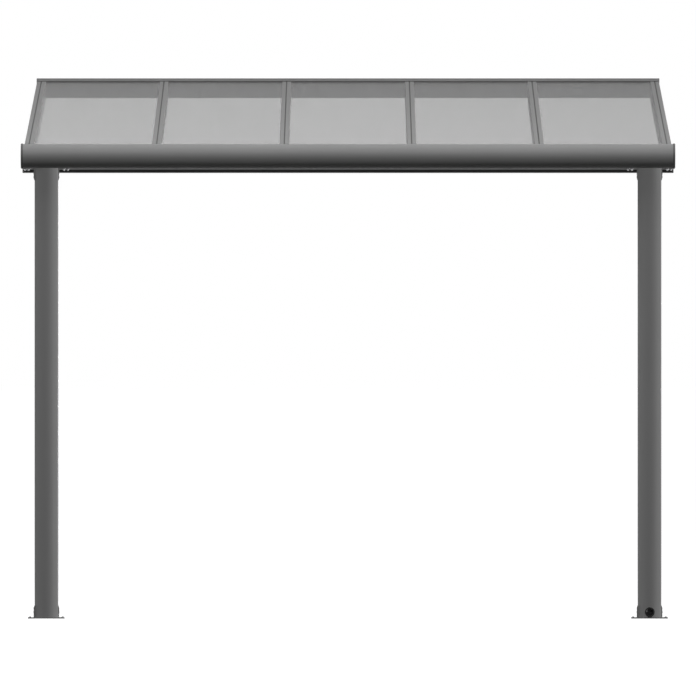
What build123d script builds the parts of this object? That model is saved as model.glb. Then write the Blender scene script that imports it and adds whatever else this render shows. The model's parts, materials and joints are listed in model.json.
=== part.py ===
from build123d import *
import math
import os

os.makedirs("parts", exist_ok=True)

# A lean-to patio cover: a wall profile, six sloping rafters with snap-on caps,
# five twin-wall panels between them, and a half-round gutter on two posts.
# The origin is the middle of the wall profile's back face. X runs along the wall,
# +Y points into the wall and +Z is up. Lengths are in millimetres.

# Layout
projection = 2950.0  # from the wall to the front of the gutter
bay_count = 5
rafter_pitch = 596.0
post_inset = 108.0  # from the gutter's end to the middle of a post
gutter_end_play = 6.0  # how far the gutter runs past the side rafters
wall_profile_underside = 2479.0  # above the ground
wall_profile_height = 95.0
post_length = 2099.0

# Rafters, caps and panels
rafter_width = 42.0
rafter_depth = 82.0  # below the panels
rafter_wall = 2.0
rafter_web_width = 8.0  # the upstand between two panels
side_lip_width = 2.0  # closes the outer edge of the two side rafters
cap_thickness = 4.0
cap_groove_width = 6.0
cap_groove_depth = 2.5
cap_edge_radius = 1.5
cap_front_overhang = 3.0  # past the panels
cap_front_bevel = 2.2
cap_nose_play = 0.5  # between a cap's nose and the rafter
panel_thickness = 8.0
panel_skin = 0.5
panel_web = 0.4
panel_flute_pitch = 11.0
panel_edge_play = 2.0  # beside the rafter web
panel_drop = 14.0  # panel top below the wall profile's top, at the wall
panel_rear_play = 5.0  # behind the panels, for heat
trim_thickness = 1.0
trim_leg = 12.0
trim_end_play = 1.0

# Wall profile and its cover
plate_thickness = 2.5
seat_width = 40.0
seat_thickness = 2.5
seat_rise = 4.5  # underside of the seat above the foot of the profile
wall_screw_radius = 4.5
wall_screw_height = -8.0
wall_screw_bays = 2  # every second bay has a pair of wall screws
rafter_rear_play = 0.5
notch_play = 1.0  # past the seat and the ledge that a rafter is notched for
cap_rear_play = 8.0
cover_thickness = 2.0
cover_reach = 44.0
cover_lip_height = 12.5
cover_lip_round = 1.5
cover_flare_height = 6.5  # the lower part of the lip leans forward
cover_flare_reach = 2.5
cover_hook_height = 8.0
wall_end_cap_thickness = 2.0

# Gutter
gutter_depth = 150.0
gutter_radius = 56.0
gutter_wall = 2.2
gutter_lip_width = 12.0
gutter_lip_drop = 8.0
groove_height = 22.0  # the grooved strip that hangs behind the posts
groove_depth = 16.0
groove_offset = 6.0  # in front of the gutter's rear wall
groove_top_lip = 6.0
groove_bottom_lip = 3.5
panel_sink = 1.5  # panel top below the gutter top, at the panels' front
panel_lip_gap = 40.0  # between the panels' front and the gutter's inner lip
rear_wall_play = 1.0  # between the gutter's rear wall and the panels
ledge_width = 20.0  # the ledge that the rafters stand on
ledge_thickness = 2.2
ledge_bite = 2.4  # how far the rafters are notched at the gutter
gutter_cap_thickness = 10.5
gutter_cap_margin = 2.5
gutter_cap_chamfer = 2.0
groove_cap_thickness = 5.0  # the part of an end cap that closes the groove
groove_cap_round = 3.0

# Posts and their brackets
post_width = 110.0
post_depth = 84.0
post_bulge = 20.0
post_wall = 2.2
post_front_round = 12.0
post_rear_round = 6.0
post_play = 2.0  # in front of the gutter's groove
foot_plate_width = 172.0
foot_plate_depth = 100.0
foot_plate_thickness = 5.0
foot_corner_radius = 8.0
foot_ear_thickness = 4.5
foot_ear_height = 60.0
foot_ear_width = 56.0
foot_ear_taper = 14.0
ear_tip_thickness = 1.5
anchor_spacing = 154.0
anchor_hole_radius = 5.0
head_ear_thickness = 4.0
head_ear_height = 56.0
head_ear_taper = 10.0
head_flange_reach = 53.0
head_bracket_width = 50.0

# Drain in the right post
outlet_outer_diameter = 45.0
outlet_wall = 2.3  # round the pipe
outlet_mouth_wall = 4.5
outlet_height = 30.0  # centre above the ground
outlet_reach = 12.0  # past the post's front
outlet_socket_length = 26.0
outlet_stop_width = 3.0  # the step that the pipe stands on
outlet_foot_width = 18.0
outlet_hole_play = 0.5
pipe_diameter = 40.0
pipe_wall = 2.0
pipe_play = 0.3
pipe_top_play = 6.0
spout_wall = 1.8
spout_length = 34.0
spout_flange_radius = 30.0
spout_flange_thickness = 2.0
spout_hole_play = 0.5

# Levels and places that follow from them
ground = -(wall_profile_underside + wall_profile_height / 2)
wall_top = wall_profile_height / 2
wall_foot = -wall_profile_height / 2
seat_top = wall_foot + seat_rise + seat_thickness
lip_foot = wall_top - cover_lip_height
flare_top = lip_foot + cover_flare_height
gutter_underside = ground + foot_plate_thickness + post_length
gutter_axis_z = gutter_underside + gutter_radius
gutter_axis_y = -projection + gutter_radius
gutter_top = gutter_axis_z + gutter_radius
gutter_floor = gutter_underside + gutter_wall
gutter_rear = -projection + gutter_depth
gutter_lip_y = gutter_axis_y + gutter_lip_width
groove_front = gutter_rear - groove_offset
groove_back = groove_front + groove_depth
groove_foot = gutter_underside - groove_height
post_front = groove_front - post_play - post_depth
post_centre_y = post_front + post_depth / 2
foot_top = ground + foot_plate_thickness
panel_front = gutter_lip_y + panel_lip_gap
panel_rear = -plate_thickness - panel_rear_play
rafter_rear = -plate_thickness - rafter_rear_play
cap_rear = -plate_thickness - cap_rear_play
cap_front = panel_front - cap_front_overhang
rafter_places = [(number - bay_count / 2) * rafter_pitch for number in range(bay_count + 1)]
panel_places = [(number - (bay_count - 1) / 2) * rafter_pitch for number in range(bay_count)]
roof_half_width = bay_count * rafter_pitch / 2 + rafter_width / 2
gutter_half_length = roof_half_width + gutter_end_play
post_centre_x = gutter_half_length - post_inset

# The roof plane runs from the wall profile down to the gutter's top
roof_angle = math.atan2(wall_top - panel_drop - gutter_top + panel_sink, -panel_front)
slope_cos = math.cos(roof_angle)
slope_sin = math.sin(roof_angle)
panel_underside_at_wall = wall_top - panel_drop - panel_thickness / slope_cos

# Radii and heights of the drain
pipe_outer_radius = pipe_diameter / 2
socket_radius = pipe_outer_radius + pipe_play
spout_outer_radius = pipe_outer_radius - pipe_wall - pipe_play
outlet_radius = outlet_outer_diameter / 2
outlet_axis_z = ground + outlet_height
pipe_foot = outlet_axis_z + outlet_radius


def underside_at(y):
    """Height of the panels' underside at a distance y from the wall."""
    return panel_underside_at_wall + y * math.tan(roof_angle)


def roof_section(x, y):
    """Plane across the slope, with its y axis square to the roof and its normal down the slope."""
    start = (x, y, underside_at(y))
    return Plane(origin=start, x_dir=(1, 0, 0), z_dir=(0, -slope_cos, -slope_sin))


def slope_length(rear, front):
    """Length along the slope between two distances from the wall."""
    return (rear - front) / slope_cos


ledge_top = underside_at(gutter_rear) - rafter_depth / slope_cos + ledge_bite
gutter_rear_top = underside_at(gutter_rear - gutter_wall) - rear_wall_play

# Wall profile: a back plate, a seat for the rafters and a lip under its edge
with BuildPart() as wall_profile:
    with BuildSketch(Plane.YZ):
        with BuildLine():
            Polyline(
                (0, wall_foot),
                (0, wall_top - cover_thickness),
                (-plate_thickness, wall_top - cover_thickness),
                (-plate_thickness, seat_top),
                (-seat_width, seat_top),
                (-seat_width, wall_foot),
                (-seat_width + seat_thickness, wall_foot),
                (-seat_width + seat_thickness, seat_top - seat_thickness),
                (-plate_thickness, seat_top - seat_thickness),
                (-plate_thickness, wall_foot),
                close=True,
            )
        make_face()
    extrude(amount=roof_half_width, both=True)
    for x in panel_places[::wall_screw_bays]:
        for side in (-1, 1):
            with Locations(Plane.XZ):
                with Locations((x + side * rafter_pitch / 4, wall_screw_height)):
                    Hole(radius=wall_screw_radius)
wall_profile.part.label = "wall_profile"
export_step(wall_profile.part, "parts/wall_profile.step")

# Wall cover: the snap-on top, with a front lip over the panels' rear ends that leans forward
# at its foot
with BuildPart() as wall_cover:
    with BuildSketch(Plane.YZ):
        with BuildLine():
            Polyline(
                (0, wall_top - cover_thickness),
                (0, wall_top),
                (-cover_reach, wall_top),
                (-cover_reach, flare_top),
                (-cover_reach - cover_flare_reach, lip_foot),
                (-cover_reach - cover_flare_reach + cover_thickness, lip_foot),
                (-cover_reach + cover_thickness, flare_top),
                (-cover_reach + cover_thickness, wall_top - cover_thickness),
                (-plate_thickness - cover_thickness, wall_top - cover_thickness),
                (-plate_thickness - cover_thickness, wall_top - cover_hook_height),
                (-plate_thickness, wall_top - cover_hook_height),
                (-plate_thickness, wall_top - cover_thickness),
                close=True,
            )
        make_face()
        front_top = vertices().group_by(Axis.Y)[-1].sort_by(Axis.X)[0]
        fillet(front_top, radius=cover_lip_round)
    extrude(amount=roof_half_width, both=True)
wall_cover.part.label = "wall_cover"
export_step(wall_cover.part, "parts/wall_cover.step")

# Wall end caps close the wall profile and its cover at both ends
for side, name in ((-1, "wall_end_cap_left"), (1, "wall_end_cap_right")):
    with BuildPart() as wall_end_cap:
        with BuildSketch(Plane.YZ.offset(side * roof_half_width)):
            with BuildLine():
                Polyline(
                    (0, wall_foot),
                    (0, wall_top),
                    (-cover_reach, wall_top),
                    (-cover_reach, flare_top),
                    (-cover_reach - cover_flare_reach, lip_foot),
                    (-seat_width, wall_foot),
                    close=True,
                )
            make_face()
            front_top = vertices().group_by(Axis.Y)[-1].sort_by(Axis.X)[0]
            fillet(front_top, radius=cover_lip_round)
        extrude(amount=side * wall_end_cap_thickness)
    wall_end_cap.part.label = name
    export_step(wall_end_cap.part, f"parts/{name}.step")

# Rafters: a box beam under the panels, with a web between them. The side rafters have a lip
# at their outer edge as well.
for number, x in enumerate(rafter_places, start=1):
    outer_edge = math.copysign(rafter_width / 2 - side_lip_width / 2, x)
    is_side = number in (1, bay_count + 1)
    with BuildPart() as rafter:
        with BuildSketch(roof_section(x, 0)):
            with Locations((0, -rafter_depth / 2)):
                Rectangle(rafter_width, rafter_depth)
                Rectangle(
                    rafter_width - 2 * rafter_wall,
                    rafter_depth - 2 * rafter_wall,
                    mode=Mode.SUBTRACT,
                )
            with Locations((0, panel_thickness / 2)):
                Rectangle(rafter_web_width, panel_thickness)
            if is_side:
                with Locations((outer_edge, panel_thickness / 2)):
                    Rectangle(side_lip_width, panel_thickness)
        extrude(amount=slope_length(0, gutter_rear) + rafter_depth)
        split(bisect_by=Plane.XZ.offset(-gutter_rear), keep=Keep.BOTTOM)
        split(bisect_by=Plane.XZ.offset(-rafter_rear), keep=Keep.TOP)
        with BuildSketch(Plane.XY.offset(seat_top)):
            with Locations((x, 0)):
                Rectangle(
                    2 * rafter_width,
                    seat_width + notch_play,
                    align=(Align.CENTER, Align.MAX),
                )
        extrude(amount=-rafter_depth, mode=Mode.SUBTRACT)
        with BuildSketch(Plane.XY.offset(ledge_top)):
            with Locations((x, gutter_rear)):
                Rectangle(
                    2 * rafter_width,
                    ledge_width + notch_play,
                    align=(Align.CENTER, Align.MIN),
                )
        extrude(amount=-rafter_depth, mode=Mode.SUBTRACT)
    rafter.part.label = f"rafter_{number}"
    export_step(rafter.part, f"parts/rafter_{number}.step")

# Rafter caps: clamp the panels' edges, with a groove for the screws along the middle. Past
# the rafters a nose under the cap fills the slot between two panels.
for number, x in enumerate(rafter_places, start=1):
    outer_edge = math.copysign(rafter_width / 2 - side_lip_width / 2, x)
    is_side = number in (1, bay_count + 1)
    nose_rear = gutter_rear - cap_nose_play
    bevel_foot = underside_at(cap_front) + panel_thickness + cap_thickness - cap_front_bevel
    with BuildPart() as rafter_cap:
        with BuildSketch(roof_section(x, cap_rear)):
            with Locations((0, panel_thickness + cap_thickness / 2)):
                Rectangle(rafter_width, cap_thickness)
            fillet(vertices().group_by(Axis.Y)[-1], radius=cap_edge_radius)
            with Locations((0, panel_thickness + cap_thickness - cap_groove_depth / 2)):
                Rectangle(cap_groove_width, cap_groove_depth, mode=Mode.SUBTRACT)
        extrude(amount=slope_length(cap_rear, cap_front))
        split(bisect_by=Plane(origin=(x, cap_front, bevel_foot), z_dir=(0, -1, 1)), keep=Keep.BOTTOM)
        with BuildSketch(roof_section(x, nose_rear)):
            with Locations((0, panel_thickness / 2)):
                Rectangle(rafter_web_width, panel_thickness)
            if is_side:
                with Locations((outer_edge, panel_thickness / 2)):
                    Rectangle(side_lip_width, panel_thickness)
        extrude(amount=slope_length(nose_rear, cap_front))
    rafter_cap.part.label = f"rafter_cap_{number}"
    export_step(rafter_cap.part, f"parts/rafter_cap_{number}.step")

# Roof panels: twin-wall sheets, two skins joined by webs with open flutes down the slope
panel_width = rafter_pitch - rafter_web_width - 2 * panel_edge_play
flute_count = int((panel_width - panel_web) / panel_flute_pitch)
flute_span = (panel_width - panel_web) / flute_count
for number, x in enumerate(panel_places, start=1):
    with BuildPart() as roof_panel:
        with BuildSketch(roof_section(x, panel_rear)):
            with Locations((0, panel_thickness / 2)):
                Rectangle(panel_width, panel_thickness)
                with GridLocations(flute_span, panel_thickness, flute_count, 1):
                    Rectangle(
                        flute_span - panel_web,
                        panel_thickness - 2 * panel_skin,
                        mode=Mode.SUBTRACT,
                    )
        extrude(amount=slope_length(panel_rear, panel_front))
    roof_panel.part.label = f"roof_panel_{number}"
    export_step(roof_panel.part, f"parts/roof_panel_{number}.step")

# Front trims: U sections that close the panels' flutes over the gutter
trim_length = rafter_pitch - rafter_width - 2 * trim_end_play
for number, x in enumerate(panel_places, start=1):
    trim_start = (x, panel_front, underside_at(panel_front))
    trim_plane = Plane(origin=trim_start, x_dir=(0, -slope_cos, -slope_sin), z_dir=(-1, 0, 0))
    with BuildPart() as panel_trim:
        with BuildSketch(trim_plane):
            with Locations((trim_thickness, panel_thickness / 2)):
                Rectangle(
                    trim_leg + trim_thickness,
                    panel_thickness + 2 * trim_thickness,
                    align=(Align.MAX, Align.CENTER),
                )
            with Locations((0, panel_thickness / 2)):
                Rectangle(
                    trim_leg,
                    panel_thickness,
                    align=(Align.MAX, Align.CENTER),
                    mode=Mode.SUBTRACT,
                )
        extrude(amount=trim_length / 2, both=True)
    panel_trim.part.label = f"panel_trim_{number}"
    export_step(panel_trim.part, f"parts/panel_trim_{number}.step")

# Gutter: one extrusion with a half-round front, an inner lip, a rear wall, a ledge for
# the rafters and a forward-facing groove that hangs behind the posts
with BuildPart() as gutter:
    with BuildSketch(Plane.YZ):
        with BuildLine():
            ThreePointArc(
                (gutter_axis_y, gutter_top),
                (-projection, gutter_axis_z),
                (gutter_axis_y, gutter_underside),
            )
            Polyline(
                (gutter_axis_y, gutter_underside),
                (gutter_rear, gutter_underside),
                (gutter_rear, gutter_rear_top),
                (gutter_rear - gutter_wall, gutter_rear_top),
                (gutter_rear - gutter_wall, gutter_floor),
                (gutter_axis_y, gutter_floor),
            )
            ThreePointArc(
                (gutter_axis_y, gutter_floor),
                (-projection + gutter_wall, gutter_axis_z),
                (gutter_axis_y, gutter_top - gutter_wall),
            )
            Polyline(
                (gutter_axis_y, gutter_top - gutter_wall),
                (gutter_lip_y - gutter_wall, gutter_top - gutter_wall),
                (gutter_lip_y - gutter_wall, gutter_top - gutter_lip_drop),
                (gutter_lip_y, gutter_top - gutter_lip_drop),
                (gutter_lip_y, gutter_top),
                (gutter_axis_y, gutter_top),
            )
        make_face()
        with BuildLine():
            Polyline(
                (groove_front, gutter_floor),
                (groove_front, gutter_underside - groove_top_lip),
                (groove_front + gutter_wall, gutter_underside - groove_top_lip),
                (groove_front + gutter_wall, gutter_underside),
                (groove_back - gutter_wall, gutter_underside),
                (groove_back - gutter_wall, groove_foot + gutter_wall),
                (groove_front + gutter_wall, groove_foot + gutter_wall),
                (groove_front + gutter_wall, groove_foot + groove_bottom_lip),
                (groove_front, groove_foot + groove_bottom_lip),
                (groove_front, groove_foot),
                (groove_back, groove_foot),
                (groove_back, gutter_floor),
                close=True,
            )
        make_face()
        with Locations((gutter_rear - gutter_wall, ledge_top)):
            Rectangle(
                ledge_width + gutter_wall,
                ledge_thickness,
                align=(Align.MIN, Align.MAX),
            )
    extrude(amount=gutter_half_length, both=True)
    with Locations((post_centre_x, post_centre_y, gutter_floor)):
        Hole(radius=spout_outer_radius + spout_hole_play, depth=2 * gutter_wall)
gutter.part.label = "gutter"
export_step(gutter.part, "parts/gutter.step")

# Gutter end caps: follow the gutter's outline, stand a little proud of it and close the groove
for side, name in ((-1, "gutter_end_cap_left"), (1, "gutter_end_cap_right")):
    with BuildPart() as gutter_end_cap:
        with BuildSketch(Plane.YZ.offset(side * gutter_half_length)):
            with BuildLine():
                ThreePointArc(
                    (gutter_axis_y, gutter_top),
                    (-projection, gutter_axis_z),
                    (gutter_axis_y, gutter_underside),
                )
                Polyline(
                    (gutter_axis_y, gutter_underside),
                    (gutter_rear, gutter_underside),
                    (gutter_rear, gutter_rear_top),
                    (gutter_axis_y, gutter_top),
                )
            make_face()
            offset(amount=gutter_cap_margin)
        extrude(amount=side * gutter_cap_thickness)
        outermost = 0 if side < 0 else -1
        chamfer(faces().sort_by(Axis.X)[outermost].edges(), length=gutter_cap_chamfer)
        with BuildSketch(Plane.YZ.offset(side * gutter_half_length)):
            with Locations((groove_front, gutter_underside)):
                Rectangle(groove_depth, groove_height, align=(Align.MIN, Align.MAX))
        extrude(amount=side * groove_cap_thickness)
        foot_edge = edges().filter_by(Axis.Y).group_by(Axis.Z)[0].sort_by(Axis.X)[outermost]
        fillet(foot_edge, radius=groove_cap_round)
    gutter_end_cap.part.label = name
    export_step(gutter_end_cap.part, f"parts/{name}.step")

# Posts: hollow extrusions with a rounded front. The right one is cut for the drain.
side_names = ((-1, "left"), (1, "right"))
for side, hand in side_names:
    x = side * post_centre_x
    with BuildPart() as post:
        with BuildSketch(Plane.XY.offset(foot_top)):
            with BuildLine():
                ThreePointArc(
                    (x - post_width / 2, post_front + post_bulge),
                    (x, post_front),
                    (x + post_width / 2, post_front + post_bulge),
                )
                Polyline(
                    (x + post_width / 2, post_front + post_bulge),
                    (x + post_width / 2, post_front + post_depth),
                    (x - post_width / 2, post_front + post_depth),
                    (x - post_width / 2, post_front + post_bulge),
                )
            make_face()
            fillet(vertices().group_by(Axis.Y)[0], radius=post_front_round)
            fillet(vertices().group_by(Axis.Y)[-1], radius=post_rear_round)
            offset(amount=-post_wall, mode=Mode.SUBTRACT)
        extrude(amount=post_length)
        if side > 0:
            with BuildSketch(Plane.XZ.offset(-post_centre_y)):
                with Locations((x, ground + outlet_height)):
                    Circle(outlet_outer_diameter / 2 + outlet_hole_play)
                with Locations((x, foot_top)):
                    Rectangle(
                        outlet_foot_width + 2 * outlet_hole_play,
                        outlet_height - foot_plate_thickness,
                        align=(Align.CENTER, Align.MIN),
                    )
            extrude(amount=post_depth, mode=Mode.SUBTRACT)
    post.part.label = f"post_{hand}"
    export_step(post.part, f"parts/post_{hand}.step")

# Post feet: a base plate with anchor holes and an ear against each side of the post
for side, hand in side_names:
    x = side * post_centre_x
    with BuildPart() as post_foot:
        with BuildSketch(Plane.XY.offset(ground)):
            with Locations((x, post_centre_y)):
                RectangleRounded(foot_plate_width, foot_plate_depth, foot_corner_radius)
        extrude(amount=foot_plate_thickness)
        with BuildSketch(Plane.XZ.offset(-post_centre_y)):
            for way in (-1, 1):
                inner = x + way * post_width / 2
                with BuildLine():
                    Polyline(
                        (inner, foot_top),
                        (inner + way * foot_ear_thickness, foot_top),
                        (inner + way * foot_ear_thickness, ground + foot_ear_height - foot_ear_taper),
                        (inner + way * ear_tip_thickness, ground + foot_ear_height),
                        (inner, ground + foot_ear_height),
                        close=True,
                    )
                make_face()
        extrude(amount=foot_ear_width / 2, both=True)
        with Locations((x, post_centre_y, foot_top)):
            with GridLocations(anchor_spacing, 1, 2, 1):
                Hole(radius=anchor_hole_radius)
    post_foot.part.label = f"post_foot_{hand}"
    export_step(post_foot.part, f"parts/post_foot_{hand}.step")

# Head brackets: an angle on each side of a post, flat under the gutter
for side, hand in side_names:
    for way in (-1, 1):
        inner = side * post_centre_x + way * post_width / 2
        name = f"head_bracket_{hand}_{'outer' if way == side else 'inner'}"
        with BuildPart() as head_bracket:
            with BuildSketch(Plane.XZ.offset(-post_centre_y)):
                with BuildLine():
                    Polyline(
                        (inner, gutter_underside),
                        (inner + way * head_flange_reach, gutter_underside),
                        (inner + way * head_flange_reach, gutter_underside - head_ear_thickness),
                        (inner + way * head_ear_thickness, gutter_underside - head_ear_thickness),
                        (
                            inner + way * head_ear_thickness,
                            gutter_underside - head_ear_height + head_ear_taper,
                        ),
                        (inner + way * ear_tip_thickness, gutter_underside - head_ear_height),
                        (inner, gutter_underside - head_ear_height),
                        close=True,
                    )
                make_face()
            extrude(amount=head_bracket_width / 2, both=True)
        head_bracket.part.label = name
        export_step(head_bracket.part, f"parts/{name}.step")

# Drain spout: a flanged tube through the gutter's floor
with BuildPart() as drain_spout:
    with BuildSketch(Plane.XY.offset(gutter_floor)):
        with Locations((post_centre_x, post_centre_y)):
            Circle(spout_flange_radius)
    extrude(amount=spout_flange_thickness)
    with BuildSketch(Plane.XY.offset(gutter_floor)):
        with Locations((post_centre_x, post_centre_y)):
            Circle(spout_outer_radius)
    extrude(amount=-spout_length)
    with Locations((post_centre_x, post_centre_y, gutter_floor + spout_flange_thickness)):
        Hole(radius=spout_outer_radius - spout_wall)
drain_spout.part.label = "drain_spout"
export_step(drain_spout.part, "parts/drain_spout.step")

# Drain pipe: hangs straight down inside the right post, between spout and outlet
with BuildPart() as drain_pipe:
    with BuildSketch(Plane.XY.offset(pipe_foot)):
        with Locations((post_centre_x, post_centre_y)):
            Circle(pipe_outer_radius)
            Circle(pipe_outer_radius - pipe_wall, mode=Mode.SUBTRACT)
    extrude(amount=gutter_underside - pipe_top_play - pipe_foot)
drain_pipe.part.label = "drain_pipe"
export_step(drain_pipe.part, "parts/drain_pipe.step")

# Drain outlet: a square moulded body that stands on the foot plate, with a socket for the
# pipe and a round mouth through the post's front
mouth_reach = post_depth / 2 + outlet_reach
outlet_body_width = 2 * (socket_radius + outlet_wall)
with BuildPart() as drain_outlet:
    with BuildSketch(Plane.XY.offset(foot_top)):
        with Locations((post_centre_x, post_centre_y)):
            Rectangle(outlet_body_width, outlet_body_width)
    extrude(amount=pipe_foot + outlet_socket_length - foot_top)
    with BuildSketch(Plane.XZ.offset(-post_centre_y)):
        with Locations((post_centre_x, outlet_axis_z)):
            Circle(outlet_radius)
        with Locations((post_centre_x, foot_top)):
            Rectangle(
                outlet_foot_width,
                outlet_height - foot_plate_thickness,
                align=(Align.CENTER, Align.MIN),
            )
    extrude(amount=mouth_reach)
    with BuildSketch(Plane.XY.offset(pipe_foot)):
        with Locations((post_centre_x, post_centre_y)):
            Circle(socket_radius)
    extrude(amount=outlet_socket_length, mode=Mode.SUBTRACT)
    with BuildSketch(Plane.XY.offset(outlet_axis_z)):
        with Locations((post_centre_x, post_centre_y)):
            Circle(pipe_outer_radius - outlet_stop_width)
    extrude(amount=outlet_radius, mode=Mode.SUBTRACT)
    with BuildSketch(Plane.XZ.offset(-post_centre_y)):
        with Locations((post_centre_x, outlet_axis_z)):
            Circle(outlet_radius - outlet_mouth_wall)
    extrude(amount=mouth_reach, mode=Mode.SUBTRACT)
drain_outlet.part.label = "drain_outlet"
export_step(drain_outlet.part, "parts/drain_outlet.step")
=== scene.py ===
import json
import math

import bmesh
import bpy
from bpy.props import FloatProperty, FloatVectorProperty, IntProperty, PointerProperty
from mathutils import Matrix, Vector


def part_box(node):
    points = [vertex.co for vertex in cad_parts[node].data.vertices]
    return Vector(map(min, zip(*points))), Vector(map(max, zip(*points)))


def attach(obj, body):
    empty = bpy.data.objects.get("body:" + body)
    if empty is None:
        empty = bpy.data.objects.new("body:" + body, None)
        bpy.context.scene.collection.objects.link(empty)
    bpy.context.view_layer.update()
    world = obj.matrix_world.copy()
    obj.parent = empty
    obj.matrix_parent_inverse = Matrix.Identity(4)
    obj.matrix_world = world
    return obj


bl_info = {
    "name": "Patio Cover Finish",
    "version": (1, 0, 0),
    "blender": (4, 5, 0),
    "location": "3D View > Sidebar > Patio Cover",
    "description": "Finishes the packed patio cover: coatings, fasteners, seals and a studio",
    "category": "Object",
}

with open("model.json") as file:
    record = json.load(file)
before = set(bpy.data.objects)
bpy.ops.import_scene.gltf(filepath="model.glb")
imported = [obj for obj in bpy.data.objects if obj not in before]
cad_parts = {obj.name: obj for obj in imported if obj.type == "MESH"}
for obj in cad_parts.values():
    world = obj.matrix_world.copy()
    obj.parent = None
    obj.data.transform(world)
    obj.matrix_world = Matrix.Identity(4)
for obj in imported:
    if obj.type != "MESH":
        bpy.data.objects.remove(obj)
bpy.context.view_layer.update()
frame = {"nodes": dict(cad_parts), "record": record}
BODY = "root"

# Places read from the frame, in metres
COVER_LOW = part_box("wall_cover")[0]
GUTTER_LOW, GUTTER_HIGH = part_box("gutter")
FLANGE_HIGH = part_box("head_bracket_right_inner")[1].z
POST_LOW, POST_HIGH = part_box("post_right")
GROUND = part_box("post_foot_right")[0].z
RAFTERS = sorted(
    name for name in frame["nodes"] if name.startswith("rafter_") and "cap" not in name
)
PANELS = sorted(name for name in frame["nodes"] if name.startswith("roof_panel_"))
POST_CENTRE = (POST_LOW.x + POST_HIGH.x) / 2
POST_MIDDLE = (POST_LOW.y + POST_HIGH.y) / 2
POST_HALF = (POST_HIGH.x - POST_LOW.x) / 2
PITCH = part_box(RAFTERS[2])[0].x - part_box(RAFTERS[1])[0].x

# The side that each post stands on, with each way out from that post
POST_FLANKS = [(side, way) for side in (-1, 1) for way in (-1, 1)]

# Washers and bolt heads, as shares of the head's width or of their own thickness
WASHER_RADIUS = 0.9
WASHER_EDGE = 0.25
HEX_EDGE = 0.12

# Round screw heads, as shares of their radius or height
SCREW_EDGE = 0.4
SCREW_RIM = 0.22
RECESS_WALL = 0.02
RECESS_DEPTH = 0.45

# Screws in the feet's ears: height above the ground, and how far the ear leans in there
FOOT_SCREW_ROWS = ((0.030, 0.0), (0.0485, 0.0006))
FOOT_SCREW_OFFSETS = (-0.014, 0.014)

# Bolts under the gutter: distance from the post's middle, and place along its depth
FLANGE_BOLTS = ((0.0825, -0.012), (0.0995, 0.012))

# Screws in the head brackets' ears: drop below the flange's top, and place along the depth
HEAD_SCREW_DROPS = (0.028, 0.042)
HEAD_SCREW_OFFSETS = (-0.013, 0.013)

# Beads beside a rafter cap: gaps at its ends, and shares of the bead's width
BEAD_REAR_GAP = 0.040
BEAD_FRONT_GAP = 0.004
BEAD_HEIGHT_SHARE = 0.6
BEAD_LIFT_SHARE = 0.3

# Insert in a rafter cap's groove: gap at each end, and height
INSERT_GAP = 0.001
INSERT_HEIGHT = 0.0012

# Rubber under the wall cover, and the black strip of painted shade in the gutter's groove:
# setbacks and rounded edges
COVER_SEAL_SETBACK = 0.0003
COVER_SEAL_EDGE = 0.0004
GROOVE_SHADE_END_GAP = 0.001
GROOVE_SHADE_DEPTHS = (0.0030, 0.0110)
GROOVE_SHADE_FOOT = 0.0035
GROOVE_SHADE_TOP = 0.0065
GROOVE_SHADE_EDGE = 0.0015

# Values that a noise texture mostly runs between
NOISE_LOW = 0.3
NOISE_HIGH = 0.7

# Colour sockets of a Mix node
MIX_FIRST = 6
MIX_SECOND = 7
MIX_RESULT = 2

# Two slopes this close are the same
SLOPE_MATCH = 0.00001

# Floor: half its side, its drop below the feet, and its shades where unseen and where seen
FLOOR_HALF = 400.0
FLOOR_DROP = 0.0002
FLOOR_UNSEEN = 0.06
FLOOR_PALE = 0.45
FLOOR_GLOW = 0.93

# Lamps: sizes of the panels, and where each distant lamp stands and its spread in degrees
KEY_SIZE = (8.0, 4.0)
FILL_SIZE = (8.0, 8.0)
RIGHT_SOURCE = (1.0, 0.12, 0.09)
LEFT_SOURCE = (-1.0, 0.2, 0.09)
REAR_SOURCE = (0.15, 1.0, 0.0)
SIDE_SPREAD = 25.0
REAR_SPREAD = 14.0
SUN_DISTANCE = 5.0

# Farthest that the camera sees
CAMERA_REACH = 2000.0


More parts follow.
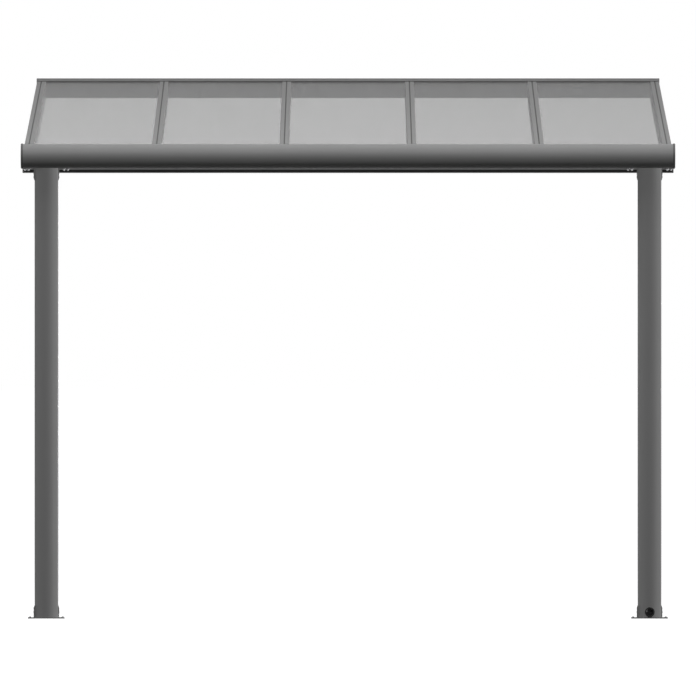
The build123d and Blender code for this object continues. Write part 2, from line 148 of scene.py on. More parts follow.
class FinishSettings(bpy.types.PropertyGroup):
    """Colours and textures of the finished surfaces"""

    coat_colour: FloatVectorProperty(
        name="Powder coat",
        description="Colour of the powder-coated profiles",
        subtype="COLOR",
        default=(0.26, 0.26, 0.26),
        min=0.0,
        max=1.0,
    )
    coat_roughness: FloatProperty(
        name="Coat roughness",
        description="Roughness of the powder coat",
        default=0.7,
        min=0.0,
        max=1.0,
    )
    # The rafter caps take the powder coat made darker: painted shade that tones down the light on
    # the caps
    strip_colour_with_painted_shade: FloatVectorProperty(
        name="Rafter caps",
        description="Colour of the coated caps on the rafters",
        subtype="COLOR",
        default=(0.23, 0.23, 0.23),
        min=0.0,
        max=1.0,
    )
    # The brackets and feet take the powder coat made darker: painted shade on the bracket ears
    bracket_colour_with_painted_shade: FloatVectorProperty(
        name="Brackets",
        description="Colour of the coated brackets and feet",
        subtype="COLOR",
        default=(0.20, 0.20, 0.20),
        min=0.0,
        max=1.0,
    )
    # The end caps are written darker than the frame's coat: painted shade on the gutter's ends
    cap_colour_with_painted_shade: FloatVectorProperty(
        name="End caps",
        description="Colour of the moulded end caps",
        subtype="COLOR",
        default=(0.122, 0.122, 0.122),
        min=0.0,
        max=1.0,
    )
    sheet_colour: FloatVectorProperty(
        name="Roof sheets",
        description="Colour of the tinted twin-wall sheets",
        subtype="COLOR",
        default=(0.254, 0.254, 0.254),
        min=0.0,
        max=1.0,
    )
    sheet_cover: FloatProperty(
        name="Sheet cover",
        description="Share of light that one skin of a roof sheet holds back",
        default=0.305,
        min=0.0,
        max=1.0,
    )
    # This near-black colour also makes the strip of painted shade in the gutter's groove
    drain_colour: FloatVectorProperty(
        name="Drain",
        description="Colour of the drain's plastic",
        subtype="COLOR",
        default=(0.008, 0.008, 0.008),
        min=0.0,
        max=1.0,
    )
    seal_colour: FloatVectorProperty(
        name="Seals",
        description="Colour of the rubber seals",
        subtype="COLOR",
        default=(0.11, 0.11, 0.11),
        min=0.0,
        max=1.0,
    )
    # The inserts are rubber parts in the caps' grooves, made near black as painted shade in the
    # grooves
    insert_colour_and_painted_shade: FloatVectorProperty(
        name="Inserts",
        description="Colour of the rubber inserts in the rafter caps",
        subtype="COLOR",
        default=(0.05, 0.05, 0.05),
        min=0.0,
        max=1.0,
    )
    zinc_colour: FloatVectorProperty(
        name="Fasteners",
        description="Colour of the plated bolts and washers",
        subtype="COLOR",
        default=(0.36, 0.36, 0.365),
        min=0.0,
        max=1.0,
    )


class FastenerSettings(bpy.types.PropertyGroup):
    """Sizes of the bolts, screws and seals"""

    hex_width: FloatProperty(
        name="Hex width",
        description="Width across the flats of the bolts under the gutter",
        default=0.010,
        unit="LENGTH",
    )
    hex_height: FloatProperty(
        name="Hex height",
        description="Height of the bolt heads under the gutter",
        default=0.0065,
        unit="LENGTH",
    )
    anchor_width: FloatProperty(
        name="Anchor width",
        description="Width across the flats of the anchor bolts",
        default=0.0115,
        unit="LENGTH",
    )
    anchor_height: FloatProperty(
        name="Anchor height",
        description="Height of the anchor bolt heads",
        default=0.0032,
        unit="LENGTH",
    )
    washer_thickness: FloatProperty(
        name="Washer thickness",
        description="Thickness of the washers under the bolt heads",
        default=0.0014,
        unit="LENGTH",
    )
    screw_radius: FloatProperty(
        name="Screw radius",
        description="Radius of the round screw heads on the brackets",
        default=0.005,
        unit="LENGTH",
    )
    screw_height: FloatProperty(
        name="Screw height",
        description="Height of the round screw heads on the brackets",
        default=0.0013,
        unit="LENGTH",
    )
    bead_width: FloatProperty(
        name="Bead width",
        description="Width of the rubber bead beside a rafter cap",
        default=0.0014,
        unit="LENGTH",
    )
    round_sides: IntProperty(
        name="Round sides",
        description="Number of sides of round screw heads and washers",
        default=20,
        min=8,
        max=64,
    )


class StudioSettings(bpy.types.PropertyGroup):
    """Camera, lamps and floor"""

    camera_distance: FloatProperty(
        name="Camera distance",
        description="Distance from the gutter's front to the camera",
        default=70.0,
        unit="LENGTH",
    )
    camera_height: FloatProperty(
        name="Camera height",
        description="Height of the camera above the ground",
        default=1.2636,
        unit="LENGTH",
    )
    camera_lens: FloatProperty(
        name="Lens",
        description="Focal length of the camera, in millimetres",
        default=776.0,
    )
    key_power: FloatProperty(
        name="Key power",
        description="Power of the wide panel of light above the gutter",
        default=370.0,
        unit="POWER",
    )
    key_height: FloatProperty(
        name="Key height",
        description="Height of the panel of light above the gutter",
        default=6.5,
        unit="LENGTH",
    )
    key_reach: FloatProperty(
        name="Key reach",
        description="Distance of the panel of light in front of the gutter",
        default=1.1,
        unit="LENGTH",
    )
    key_aim: FloatProperty(
        name="Key aim",
        description="Distance in front of the gutter of the spot that the panel of light faces",
        default=5.0,
        unit="LENGTH",
    )
    fill_power: FloatProperty(
        name="Fill power",
        description="Power of the large panel of light high up in front, which casts no shadow",
        default=3050.0,
        unit="POWER",
    )
    fill_reach: FloatProperty(
        name="Fill reach",
        description="Distance of that panel in front of the gutter, and its height above it",
        default=19.0,
        unit="LENGTH",
    )
    right_strength: FloatProperty(
        name="Right strength",
        description="Strength of the light from the right",
        default=2.4,
    )
    left_strength: FloatProperty(
        name="Left strength",
        description="Strength of the light from the left",
        default=1.1,
    )
    rear_strength: FloatProperty(
        name="Rear strength",
        description="Strength of the low light from behind",
        default=0.9,
    )
    world_strength: FloatProperty(
        name="World strength",
        description="Strength of the plain surrounding light",
        default=0.05,
    )


def nodes_in_slot(slot):
    """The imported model's objects that take their finish from a material slot."""
    return [
        frame["nodes"][part["node"]]
        for part in frame["record"]["subparts"]
        if part.get("material_slot") == slot
    ]


def finish_nodes(objects, material):
    """Puts one material on packed objects."""
    for item in objects:
        item.data.materials.clear()
        item.data.materials.append(material)


def new_material(name):
    """A new material, its node tree and its Principled shader."""
    material = bpy.data.materials.new(name)
    material.use_nodes = True
    tree = material.node_tree
    return material, tree, tree.nodes["Principled BSDF"]


def object_coordinates(tree, scale=(1.0, 1.0, 1.0)):
    """Object coordinates through a Mapping node with the given scale."""
    coordinates = tree.nodes.new("ShaderNodeTexCoord")
    mapping = tree.nodes.new("ShaderNodeMapping")
    mapping.inputs["Scale"].default_value = scale
    tree.links.new(coordinates.outputs["Object"], mapping.inputs["Vector"])
    return mapping.outputs["Vector"]


def noise(tree, vector, scale, detail=2.0):
    """A noise texture's factor."""
    texture = tree.nodes.new("ShaderNodeTexNoise")
    texture.inputs["Scale"].default_value = scale
    texture.inputs["Detail"].default_value = detail
    tree.links.new(vector, texture.inputs["Vector"])
    return texture.outputs["Fac"]


def ranged(tree, factor, low, high):
    """A noise factor mapped to a range of values."""
    node = tree.nodes.new("ShaderNodeMapRange")
    node.inputs["From Min"].default_value = NOISE_LOW
    node.inputs["From Max"].default_value = NOISE_HIGH
    node.inputs["To Min"].default_value = low
    node.inputs["To Max"].default_value = high
    tree.links.new(factor, node.inputs["Value"])
    return node.outputs["Result"]


def shades(tree, factor, colour, low, high):
    """A colour that runs between two shades of itself with a factor."""
    node = tree.nodes.new("ShaderNodeMix")
    node.data_type = "RGBA"
    node.inputs[MIX_FIRST].default_value = [*(channel * low for channel in colour), 1.0]
    node.inputs[MIX_SECOND].default_value = [*(channel * high for channel in colour), 1.0]
    tree.links.new(factor, node.inputs["Factor"])
    return node.outputs[MIX_RESULT]


def bumped(tree, height, strength, distance):
    """A normal bumped by a height."""
    node = tree.nodes.new("ShaderNodeBump")
    node.inputs["Strength"].default_value = strength
    node.inputs["Distance"].default_value = distance
    tree.links.new(height, node.inputs["Height"])
    return node.outputs["Normal"]


def powder_coat(name, colour, roughness):
    """Grey powder coat: a fine grain with slight changes of shade and gloss."""
    material, tree, shader = new_material(name)
    place = object_coordinates(tree)
    broad = noise(tree, place, scale=3.0)
    grain = noise(tree, place, scale=800.0, detail=3.0)
    shade = shades(tree, broad, colour, low=0.97, high=1.03)
    gloss = ranged(tree, grain, low=roughness - 0.04, high=roughness + 0.04)
    normal = bumped(tree, grain, strength=0.12, distance=0.0003)
    tree.links.new(shade, shader.inputs["Base Color"])
    tree.links.new(gloss, shader.inputs["Roughness"])
    tree.links.new(normal, shader.inputs["Normal"])
    shader.inputs["Specular IOR Level"].default_value = 0.12
    return material


def moulded_plastic(name, colour, roughness):
    """Moulded plastic with a fine grain."""
    material, tree, shader = new_material(name)
    place = object_coordinates(tree)
    grain = noise(tree, place, scale=1100.0)
    shade = shades(tree, grain, colour, low=0.92, high=1.08)
    gloss = ranged(tree, grain, low=roughness - 0.05, high=roughness + 0.05)
    normal = bumped(tree, grain, strength=0.1, distance=0.0002)
    tree.links.new(shade, shader.inputs["Base Color"])
    tree.links.new(gloss, shader.inputs["Roughness"])
    tree.links.new(normal, shader.inputs["Normal"])
    shader.inputs["Specular IOR Level"].default_value = 0.2
    return material


def plated_zinc(name, colour):
    """Bright zinc plating with a faint mottle."""
    material, tree, shader = new_material(name)
    mottle = noise(tree, object_coordinates(tree), scale=500.0)
    shade = shades(tree, mottle, colour, low=0.80, high=1.20)
    tree.links.new(shade, shader.inputs["Base Color"])
    tree.links.new(ranged(tree, mottle, low=0.3, high=0.45), shader.inputs["Roughness"])
    shader.inputs["Metallic"].default_value = 1.0
    return material


def rubber(name, colour):
    """Matt rubber."""
    material, tree, shader = new_material(name)
    grain = noise(tree, object_coordinates(tree), scale=700.0)
    shade = shades(tree, grain, colour, low=0.7, high=1.5)
    tree.links.new(shade, shader.inputs["Base Color"])
    tree.links.new(ranged(tree, grain, low=0.6, high=0.75), shader.inputs["Roughness"])
    shader.inputs["Specular IOR Level"].default_value = 0.2
    return material


def twin_wall_sheet(name, colour, cover):
    """Tinted twin-wall sheet: streaks along its flutes, partly see-through."""
    material, tree, shader = new_material(name)
    place = object_coordinates(tree, scale=(1.0, 0.02, 0.02))
    streaks = noise(tree, place, scale=75.0, detail=1.0)
    full = ranged(tree, streaks, low=0.0, high=1.0)
    shade = shades(tree, full, colour, low=0.92, high=1.08)
    tree.links.new(shade, shader.inputs["Base Color"])
    tree.links.new(ranged(tree, streaks, low=0.45, high=0.55), shader.inputs["Roughness"])
    shader.inputs["Specular IOR Level"].default_value = 0.2
    shader.inputs["Alpha"].default_value = cover
    return material


def named_material(name):
    """A material that an earlier operator made."""
    material = bpy.data.materials.get(name)
    if material is None:
        raise RuntimeError(f"the material {name} isn't made yet: coat the profiles first")
    return material


def new_piece(name, material_name, build):
    """A finished piece at the origin, from a function that fills a bmesh."""
    mesh = bpy.data.meshes.new(name)
    bm = bmesh.new()
    build(bm)
    bmesh.ops.recalc_face_normals(bm, faces=bm.faces)
    bm.to_mesh(mesh)
    bm.free()
    mesh.materials.append(named_material(material_name))
    piece = bpy.data.objects.new(name, mesh)
    bpy.context.scene.collection.objects.link(piece)
    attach(piece, BODY)
    return piece


def facing(place, direction):
    """A matrix that sets a shape made along +Z at a place, pointing in a direction."""
    turn = Vector(direction).to_track_quat("Z", "Y").to_matrix().to_4x4()
    return Matrix.Translation(Vector(place)) @ turn


def rounded(bm, edges, width):
    """Rounds edges with two segments."""
    bmesh.ops.bevel(
        bm,
        geom=list(edges),
        offset=width,
        offset_type="OFFSET",
        segments=2,
        profile=0.5,
        affect="EDGES",
        material=-1,
    )


def add_boss(bm, place, direction, radius, height, sides, edge):
    """A many-sided boss on a surface, with its outer rim rounded; returns its top."""
    made = bmesh.ops.create_cone(
        bm,
        cap_ends=True,
        segments=sides,
        radius1=radius,
        radius2=radius,
        depth=height,
        matrix=facing(place, direction) @ Matrix.Translation((0.0, 0.0, height / 2)),
    )
    outward = Vector(direction).normalized()
    faces = {face for vertex in made["verts"] for face in vertex.link_faces}
    top = max(faces, key=lambda face: face.calc_center_median().dot(outward))
    rounded(bm, top.edges, edge)
    near = Vector(place) + outward * height
    return min(bm.faces, key=lambda face: (face.calc_center_median() - near).length)


def add_hex_bolt(bm, place, direction, width, height, settings):
    """A washer and a hexagonal head on a surface."""
    washer = settings.washer_thickness
    radius = width * WASHER_RADIUS
    add_boss(bm, place, direction, radius, washer, settings.round_sides, washer * WASHER_EDGE)
    seat = Vector(place) + Vector(direction).normalized() * washer
    add_boss(bm, seat, direction, width / math.sqrt(3.0), height, 6, height * HEX_EDGE)


def add_socket_screw(bm, place, direction, radius, height, sides):
    """A low round screw head with a recess."""
    top = add_boss(bm, place, direction, radius, height, sides, height * SCREW_EDGE)
    for share in (SCREW_RIM, RECESS_WALL):
        bmesh.ops.inset_region(bm, faces=[top], thickness=radius * share, use_even_offset=True)
    sunk = Vector(direction).normalized() * (-height * RECESS_DEPTH)
    bmesh.ops.translate(bm, verts=top.verts, vec=sunk)


def add_ear_screw(bm, side, way, face, offset, height, sizes):
    """A screw head on a bracket's ear, at the flank of a post."""
    place = (side * POST_CENTRE + way * face, POST_MIDDLE + offset, height)
    radius, rise = sizes.screw_radius, sizes.screw_height
    add_socket_screw(bm, place, (way, 0, 0), radius, rise, sizes.round_sides)


def add_bead(bm, start, end, width, height, sides=8):
    """A rounded bead between two points."""
    run = Vector(end) - Vector(start)
    made = bmesh.ops.create_circle(
        bm,
        cap_ends=True,
        segments=sides,
        radius=0.5,
        matrix=facing(start, run) @ Matrix.Diagonal((width, height, 1.0, 1.0)),
    )
    face = made["verts"][0].link_faces[0]
    pushed = bmesh.ops.extrude_face_region(bm, geom=[face])
    ends = [item for item in pushed["geom"] if isinstance(item, bmesh.types.BMVert)]
    bmesh.ops.translate(bm, verts=ends, vec=run)


def add_strip(bm, low, high, edge):
    """A straight strip with rounded edges between two corners."""
    low, high = Vector(low), Vector(high)
    size = high - low
    made = bmesh.ops.create_cube(
        bm,
        size=1.0,
        matrix=Matrix.Translation((low + high) / 2) @ Matrix.Diagonal((*size, 1.0)),
    )
    rounded(bm, {side for vertex in made["verts"] for side in vertex.link_edges}, edge)


def cap_line(name):
    """Rear and front ends of the middle of a rafter cap's top."""
    low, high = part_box(name)
    x = (low.x + high.x) / 2
    points = [vertex.co for vertex in frame["nodes"][name].data.vertices]
    rear = max(points, key=lambda point: point.z)
    far = [point for point in points if point.y < (low.y + high.y) / 2]
    fall = min((rear.z - point.z) / (rear.y - point.y) for point in far)
    front = min(
        (point for point in far if (rear.z - point.z) / (rear.y - point.y) < fall + SLOPE_MATCH),
        key=lambda point: point.y,
    )
    return Vector((x, rear.y, rear.z)), Vector((x, front.y, front.z))


def caps():
    """Name of each rafter cap, in the rafters' order."""
    return [name.replace("rafter", "rafter_cap") for name in RAFTERS]


def roof_up():
    """Direction square to the roof, pointing up."""
    rear, front = cap_line("rafter_cap_1")
    return Vector((1.0, 0.0, 0.0)).cross(rear - front).normalized()


def cap_top_at(y):
    """Height of the caps' top at a distance from the wall."""
    rear, front = cap_line("rafter_cap_1")
    return rear.z + (y - rear.y) * (rear.z - front.z) / (rear.y - front.y)


class PATIO_OT_coatings(bpy.types.Operator):
    """Coat the profiles, brackets, end caps, roof sheets and drain"""

    bl_idname = "patio_cover.coatings"
    bl_label = "Coat the Profiles"

    def execute(self, context):
        finish = context.scene.patio_finish
        coat = powder_coat("powder_coat", finish.coat_colour, finish.coat_roughness)
        # The rafter caps, brackets and end caps get darker copies of their coats: painted shade
        strip = powder_coat("rafter_cap_coat", finish.strip_colour_with_painted_shade, finish.coat_roughness)
        bracket = powder_coat("bracket_coat_painted_shade", finish.bracket_colour_with_painted_shade, finish.coat_roughness)
        cap = moulded_plastic("end_cap_plastic_painted_shade", finish.cap_colour_with_painted_shade, 0.7)
        sheet = twin_wall_sheet("twin_wall_sheet", finish.sheet_colour, finish.sheet_cover)
        drain = moulded_plastic("drain_plastic", finish.drain_colour, 0.45)
        finish_nodes(nodes_in_slot("aluminium_frame"), coat)
        finish_nodes([frame["nodes"][name] for name in caps()], strip)
        finish_nodes(nodes_in_slot("bracket"), bracket)
        finish_nodes(nodes_in_slot("end_cap"), cap)
        finish_nodes(nodes_in_slot("twin_wall_sheet"), sheet)
        finish_nodes(nodes_in_slot("drain"), drain)
        plated_zinc("plated_zinc", finish.zinc_colour)
        rubber("grey_rubber", finish.seal_colour)
        rubber("insert_rubber_and_painted_shade", finish.insert_colour_and_painted_shade)
        # Black rubber in the drain's colour: the strip of painted shade in the gutter's groove
        rubber("groove_shade_black_rubber", finish.drain_colour)
        return {"FINISHED"}


class PATIO_OT_foot_bolts(bpy.types.Operator):
    """Set the anchor bolts and the ear screws of the post feet"""

    bl_idname = "patio_cover.foot_bolts"
    bl_label = "Foot Bolts"

    anchor_place: FloatProperty(
        name="Anchor place",
        description="From the middle of a post to an anchor bolt",
        default=0.077,
        unit="LENGTH",
    )
    plate_thickness: FloatProperty(
        name="Plate thickness",
        description="Thickness of the foot plate",
        default=0.005,
        unit="LENGTH",
    )
    ear_thickness: FloatProperty(
        name="Ear thickness",
        description="Thickness of a foot's ear",
        default=0.0045,
        unit="LENGTH",
    )

    def execute(self, context):
        sizes = context.scene.patio_fasteners

        def anchors(bm):
            for side, way in POST_FLANKS:
                x = side * POST_CENTRE + way * self.anchor_place
                place = (x, POST_MIDDLE, GROUND + self.plate_thickness)
                add_hex_bolt(bm, place, (0, 0, 1), sizes.anchor_width, sizes.anchor_height, sizes)

        def ear_screws(bm):
            for side, way in POST_FLANKS:
                for height, inset in FOOT_SCREW_ROWS:
                    face = POST_HALF + self.ear_thickness - inset
                    for offset in FOOT_SCREW_OFFSETS:
                        add_ear_screw(bm, side, way, face, offset, GROUND + height, sizes)

        new_piece("foot_anchor_bolts", "plated_zinc", anchors)
        new_piece("foot_ear_screws", "plated_zinc", ear_screws)
        return {"FINISHED"}


class PATIO_OT_head_bolts(bpy.types.Operator):
    """Set the bolts under the gutter and the screws in the head brackets' ears"""

    bl_idname = "patio_cover.head_bolts"
    bl_label = "Head Bolts"

    flange_thickness: FloatProperty(
        name="Flange thickness",
        description="Thickness of a head bracket",
        default=0.004,
        unit="LENGTH",
    )

    def execute(self, context):
        sizes = context.scene.patio_fasteners
        under = FLANGE_HIGH - self.flange_thickness

        def flange_bolts(bm):
            for side, way in POST_FLANKS:
                for reach, offset in FLANGE_BOLTS:
                    place = (side * POST_CENTRE + way * reach, POST_MIDDLE + offset, under)
                    add_hex_bolt(bm, place, (0, 0, -1), sizes.hex_width, sizes.hex_height, sizes)

        def ear_screws(bm):
            face = POST_HALF + self.flange_thickness
            for side, way in POST_FLANKS:
                for drop in HEAD_SCREW_DROPS:
                    for offset in HEAD_SCREW_OFFSETS:
                        add_ear_screw(bm, side, way, face, offset, FLANGE_HIGH - drop, sizes)

        new_piece("head_flange_bolts", "plated_zinc", flange_bolts)
        new_piece("head_ear_screws", "plated_zinc", ear_screws)
        return {"FINISHED"}


class PATIO_OT_wall_screws(bpy.types.Operator):
    """Set the screws in the wall profile"""

    bl_idname = "patio_cover.wall_screws"
    bl_label = "Wall Screws"

    wall_screw_height: FloatProperty(
        name="Wall screw height",
        description="Height of the wall screws in the wall profile",
        default=-0.008,
        unit="LENGTH",
    )
    plate_thickness: FloatProperty(
        name="Wall plate thickness",
        description="Thickness of the wall profile's plate",
        default=0.0025,
        unit="LENGTH",
    )
    head_radius: FloatProperty(
        name="Head radius",
        description="Radius of a wall screw's head",
        default=0.0085,
        unit="LENGTH",
    )
    head_height: FloatProperty(
        name="Head height",
        description="Height of a wall screw's head",
        default=0.003,
        unit="LENGTH",
    )

    def execute(self, context):
        sizes = context.scene.patio_fasteners

        def wall_screws(bm):
            for name in PANELS[::2]:
                low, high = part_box(name)
                for way in (-1, 1):
                    x = (low.x + high.x) / 2 + way * PITCH / 4
                    place = (x, -self.plate_thickness, self.wall_screw_height)
                    radius, rise = self.head_radius, self.head_height
                    add_socket_screw(bm, place, (0, -1, 0), radius, rise, sizes.round_sides)

        # The wall screws take the brackets' darker coat, which holds painted shade
        new_piece("wall_screws", "bracket_coat_painted_shade", wall_screws)
        return {"FINISHED"}


class PATIO_OT_seals(bpy.types.Operator):
    """Lay the rubber beads beside the caps, the seal under the wall cover, the cap inserts that
    are partly painted shade, and a black strip of painted shade in the gutter's groove
    """

    bl_idname = "patio_cover.seals"
    bl_label = "Seals"

    cap_thickness: FloatProperty(
        name="Cap thickness",
        description="Thickness of a rafter cap",
        default=0.004,
        unit="LENGTH",
    )
    cap_width: FloatProperty(
        name="Cap width",
        description="Width of a rafter cap",
        default=0.042,
        unit="LENGTH",
    )
    cover_lip: FloatProperty(
        name="Cover lip",
        description="Thickness of the wall cover's front lip",
        default=0.002,
        unit="LENGTH",
    )
    groove_height: FloatProperty(
        name="Groove height",
        description="Height of the gutter's rear groove",
        default=0.022,
        unit="LENGTH",
    )
    insert_width: FloatProperty(
        name="Insert width",
        description="Width of the rubber insert in a rafter cap's groove",
        default=0.0058,
        unit="LENGTH",
    )
    insert_depth: FloatProperty(
        name="Insert depth",
        description="From a rafter cap's top to the middle of the insert in its groove",
        default=0.0019,
        unit="LENGTH",
    )
    groove_front: FloatProperty(
        name="Groove front",
        description="From a post's rear to the mouth of the gutter's groove",
        default=0.002,
        unit="LENGTH",
    )

    def execute(self, context):
        sizes = context.scene.patio_fasteners
        up = roof_up()
        half = self.cap_width / 2

        def cap_beads(bm):
            width = sizes.bead_width
            for name in caps():
                rear, front = cap_line(name)
                ways = (-1, 1)
                if name == caps()[0]:
                    ways = (1,)
                if name == caps()[-1]:
                    ways = (-1,)
                run = (front - rear).normalized()
                for way in ways:
                    shift = Vector((way * half, 0.0, 0.0))
                    shift -= up * (self.cap_thickness - width * BEAD_LIFT_SHARE)
                    start = rear + shift + run * BEAD_REAR_GAP
                    end = front + shift - run * BEAD_FRONT_GAP
                    add_bead(bm, start, end, width, width * BEAD_HEIGHT_SHARE)

        # Near-black inserts in the caps' grooves: rubber parts that also stand in as painted
        # shade in the grooves
        def cap_inserts_and_painted_shade(bm):
            for name in caps():
                rear, front = cap_line(name)
                run = (front - rear).normalized()
                start = rear + run * INSERT_GAP - up * self.insert_depth
                end = front - run * INSERT_GAP - up * self.insert_depth
                add_bead(bm, start, end, self.insert_width, INSERT_HEIGHT)

        def cover_seal(bm):
            front = COVER_LOW.y + COVER_SEAL_SETBACK
            rear = COVER_LOW.y + self.cover_lip
            over_caps = cap_top_at(COVER_LOW.y)
            over_panels = over_caps - self.cap_thickness / up.z
            for name in PANELS:
                low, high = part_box(name)
                middle = (low.x + high.x) / 2
                reach = PITCH / 2 - half
                foot = (middle - reach, front, over_panels)
                head = (middle + reach, rear, COVER_LOW.z)
                add_strip(bm, foot, head, COVER_SEAL_EDGE)
            for name in caps():
                low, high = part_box(name)
                foot = (low.x, front, over_caps)
                head = (high.x, rear, COVER_LOW.z)
                add_strip(bm, foot, head, COVER_SEAL_EDGE)

        # A near-black strip in the gutter's rear groove: painted shade that darkens the recess
        def groove_painted_shade_strip(bm):
            front = POST_HIGH.y + self.groove_front
            foot = FLANGE_HIGH - self.groove_height
            near, far = GROOVE_SHADE_DEPTHS
            end = GROOVE_SHADE_END_GAP
            low = (GUTTER_LOW.x + end, front + near, foot + GROOVE_SHADE_FOOT)
            high = (GUTTER_HIGH.x - end, front + far, FLANGE_HIGH - GROOVE_SHADE_TOP)
            add_strip(bm, low, high, GROOVE_SHADE_EDGE)

        new_piece("cap_beads", "grey_rubber", cap_beads)
        new_piece("cap_inserts_and_painted_shade", "insert_rubber_and_painted_shade", cap_inserts_and_painted_shade)
        new_piece("cover_seal", "grey_rubber", cover_seal)
        new_piece("groove_painted_shade_strip", "groove_shade_black_rubber", groove_painted_shade_strip)
        return {"FINISHED"}


class PATIO_OT_studio(bpy.types.Operator):
    """Set up the floor, the surrounding light, the lamps and the camera"""

    bl_idname = "patio_cover.studio"
    bl_label = "Studio"

    def execute(self, context):
        studio = context.scene.patio_studio
        self.floor(context)
        self.world(context, studio.world_strength)
        front = Vector((0.0, GUTTER_LOW.y, GUTTER_HIGH.z))
        key_place = front + Vector((0.0, -studio.key_reach, studio.key_height))
        key_aim = Vector((0.0, GUTTER_LOW.y - studio.key_aim, GROUND))
        self.panel(context, "key_light", studio.key_power, KEY_SIZE, key_place, key_aim)
        fill_place = front + Vector((0.0, -studio.fill_reach, studio.fill_reach))
        fill = self.panel(context, "fill_light", studio.fill_power, FILL_SIZE, fill_place, front)
        fill.use_shadow = False
        right = self.sun(context, "right_light", studio.right_strength, RIGHT_SOURCE, SIDE_SPREAD)
        right.use_shadow = False
        self.sun(context, "left_light", studio.left_strength, LEFT_SOURCE, SIDE_SPREAD)
        self.sun(context, "rear_light", studio.rear_strength, REAR_SOURCE, REAR_SPREAD)
        self.camera(context, studio)
        context.scene.view_settings.view_transform = "Standard"
        return {"FINISHED"}

    def seen(self, tree):
        """A factor that is 1 where the background is seen, reflected or looked through."""
        path = tree.nodes.new("ShaderNodeLightPath")
        factor = path.outputs["Is Camera Ray"]
        for ray in ("Is Glossy Ray", "Is Transmission Ray"):
            either = tree.nodes.new("ShaderNodeMath")
            either.operation = "MAXIMUM"
            tree.links.new(factor, either.inputs[0])
            tree.links.new(path.outputs[ray], either.inputs[1])
            factor = either.outputs[0]
        return factor

    def mixed(self, tree, factor, first, second):
        """A shader that goes from one to another with a factor."""
        mix = tree.nodes.new("ShaderNodeMixShader")
        tree.links.new(factor, mix.inputs["Fac"])
        tree.links.new(first.outputs[0], mix.inputs[1])
        tree.links.new(second.outputs[0], mix.inputs[2])
        return mix

    def plain(self, tree, kind, colour, strength=None):
        """A shader of one grey, with a strength where it gives light."""
        node = tree.nodes.new(kind)
        node.inputs["Color"].default_value = (colour, colour, colour, 1.0)
        if strength is not None:
            node.inputs["Strength"].default_value = strength
        return node

    def floor(self, context):
        """A pale floor that keeps the object's shadow and is clear from below."""
        mesh = bpy.data.meshes.new("studio_floor")
        bm = bmesh.new()
        bmesh.ops.create_grid(bm, x_segments=1, y_segments=1, size=FLOOR_HALF)
        bmesh.ops.translate(bm, verts=bm.verts, vec=(0.0, 0.0, GROUND - FLOOR_DROP))
        bm.to_mesh(mesh)
        bm.free()
        material = bpy.data.materials.new("studio_floor")
        material.use_nodes = True
        tree = material.node_tree
        tree.nodes.clear()
        output = tree.nodes.new("ShaderNodeOutputMaterial")
        unseen = self.plain(tree, "ShaderNodeBsdfDiffuse", FLOOR_UNSEEN)
        pale = self.plain(tree, "ShaderNodeBsdfDiffuse", FLOOR_PALE)
        glow = self.plain(tree, "ShaderNodeEmission", 1.0, FLOOR_GLOW)
        lit = tree.nodes.new("ShaderNodeAddShader")
        tree.links.new(pale.outputs[0], lit.inputs[0])
        tree.links.new(glow.outputs[0], lit.inputs[1])
        above = self.mixed(tree, self.seen(tree), unseen, lit)
        side = tree.nodes.new("ShaderNodeNewGeometry")
        clear = tree.nodes.new("ShaderNodeBsdfTransparent")
        both = self.mixed(tree, side.outputs["Backfacing"], above, clear)
        tree.links.new(both.outputs[0], output.inputs["Surface"])
        mesh.materials.append(material)
        floor = bpy.data.objects.new("studio_floor", mesh)
        context.scene.collection.objects.link(floor)

    def world(self, context, strength):
        """Plain surrounding light, with a white background where it is seen."""
        world = bpy.data.worlds.new("studio_world")
        context.scene.world = world
        world.use_nodes = True
        tree = world.node_tree
        tree.nodes.clear()
        output = tree.nodes.new("ShaderNodeOutputWorld")
        light = self.plain(tree, "ShaderNodeBackground", 1.0, strength)
        white = self.plain(tree, "ShaderNodeBackground", 1.0, 1.0)
        mix = self.mixed(tree, self.seen(tree), light, white)
        tree.links.new(mix.outputs[0], output.inputs["Surface"])

    def panel(self, context, name, power, size, place, aim):
        """A rectangular lamp at a place, facing a spot."""
        lamp = bpy.data.lights.new(name, "AREA")
        lamp.shape = "RECTANGLE"
        lamp.size, lamp.size_y = size
        lamp.energy = power
        item = bpy.data.objects.new(name, lamp)
        item.location = place
        item.rotation_euler = (aim - place).to_track_quat("-Z", "Y").to_euler()
        context.scene.collection.objects.link(item)
        return lamp

    def sun(self, context, name, strength, source, spread):
        """A distant lamp that shines from a direction."""
        lamp = bpy.data.lights.new(name, "SUN")
        lamp.energy = strength
        lamp.angle = math.radians(spread)
        item = bpy.data.objects.new(name, lamp)
        item.location = Vector(source) * SUN_DISTANCE
        item.rotation_euler = (-Vector(source)).to_track_quat("-Z", "Y").to_euler()
        context.scene.collection.objects.link(item)
        return lamp

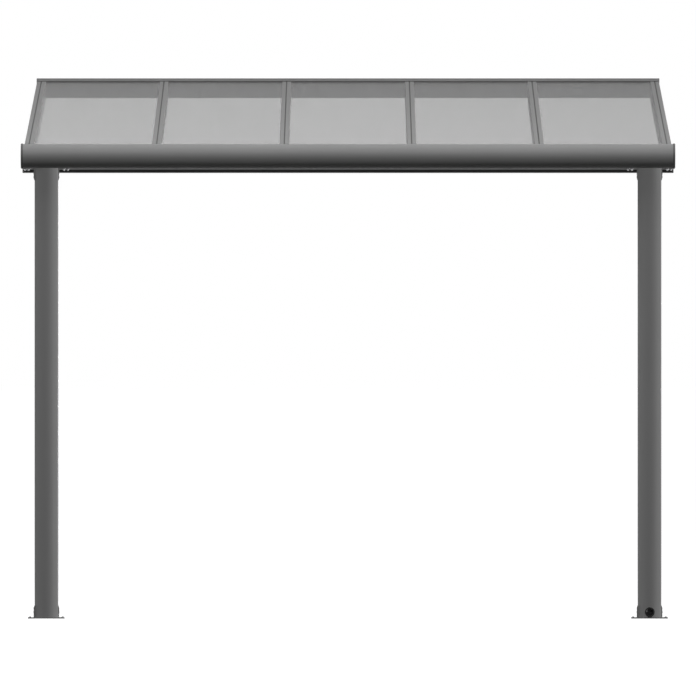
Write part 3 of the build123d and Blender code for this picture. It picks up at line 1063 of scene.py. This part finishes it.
    def camera(self, context, studio):
        """A level long-lens camera in front of the gutter."""
        data = bpy.data.cameras.new("studio_camera")
        data.lens = studio.camera_lens
        data.clip_end = CAMERA_REACH
        item = bpy.data.objects.new("studio_camera", data)
        item.location = (
            0.0,
            GUTTER_LOW.y - studio.camera_distance,
            GROUND + studio.camera_height,
        )
        item.rotation_euler = (math.radians(90.0), 0.0, 0.0)
        context.scene.collection.objects.link(item)
        context.scene.camera = item


class PATIO_PT_finish(bpy.types.Panel):
    """Steps that finish the patio cover"""

    bl_idname = "PATIO_PT_finish"
    bl_label = "Patio Cover"
    bl_space_type = "VIEW_3D"
    bl_region_type = "UI"
    bl_category = "Patio Cover"

    def draw(self, context):
        for step in STEPS:
            self.layout.operator(step.bl_idname)
        for settings in ("patio_finish", "patio_fasteners", "patio_studio"):
            box = self.layout.box()
            group = getattr(context.scene, settings)
            for name in group.__annotations__:
                box.prop(group, name)


SETTINGS = (FinishSettings, FastenerSettings, StudioSettings)
STEPS = (
    PATIO_OT_coatings,
    PATIO_OT_foot_bolts,
    PATIO_OT_head_bolts,
    PATIO_OT_wall_screws,
    PATIO_OT_seals,
    PATIO_OT_studio,
)


def register():
    for item in (*SETTINGS, *STEPS, PATIO_PT_finish):
        bpy.utils.register_class(item)
    bpy.types.Scene.patio_finish = PointerProperty(type=FinishSettings)
    bpy.types.Scene.patio_fasteners = PointerProperty(type=FastenerSettings)
    bpy.types.Scene.patio_studio = PointerProperty(type=StudioSettings)


def unregister():
    del bpy.types.Scene.patio_studio
    del bpy.types.Scene.patio_fasteners
    del bpy.types.Scene.patio_finish
    for item in reversed((*SETTINGS, *STEPS, PATIO_PT_finish)):
        bpy.utils.unregister_class(item)


def main():
    """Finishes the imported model."""
    register()
    bpy.ops.patio_cover.coatings()
    bpy.ops.patio_cover.foot_bolts()
    bpy.ops.patio_cover.head_bolts()
    bpy.ops.patio_cover.wall_screws()
    bpy.ops.patio_cover.seals()
    bpy.ops.patio_cover.studio()


if __name__ == "__main__":
    main()
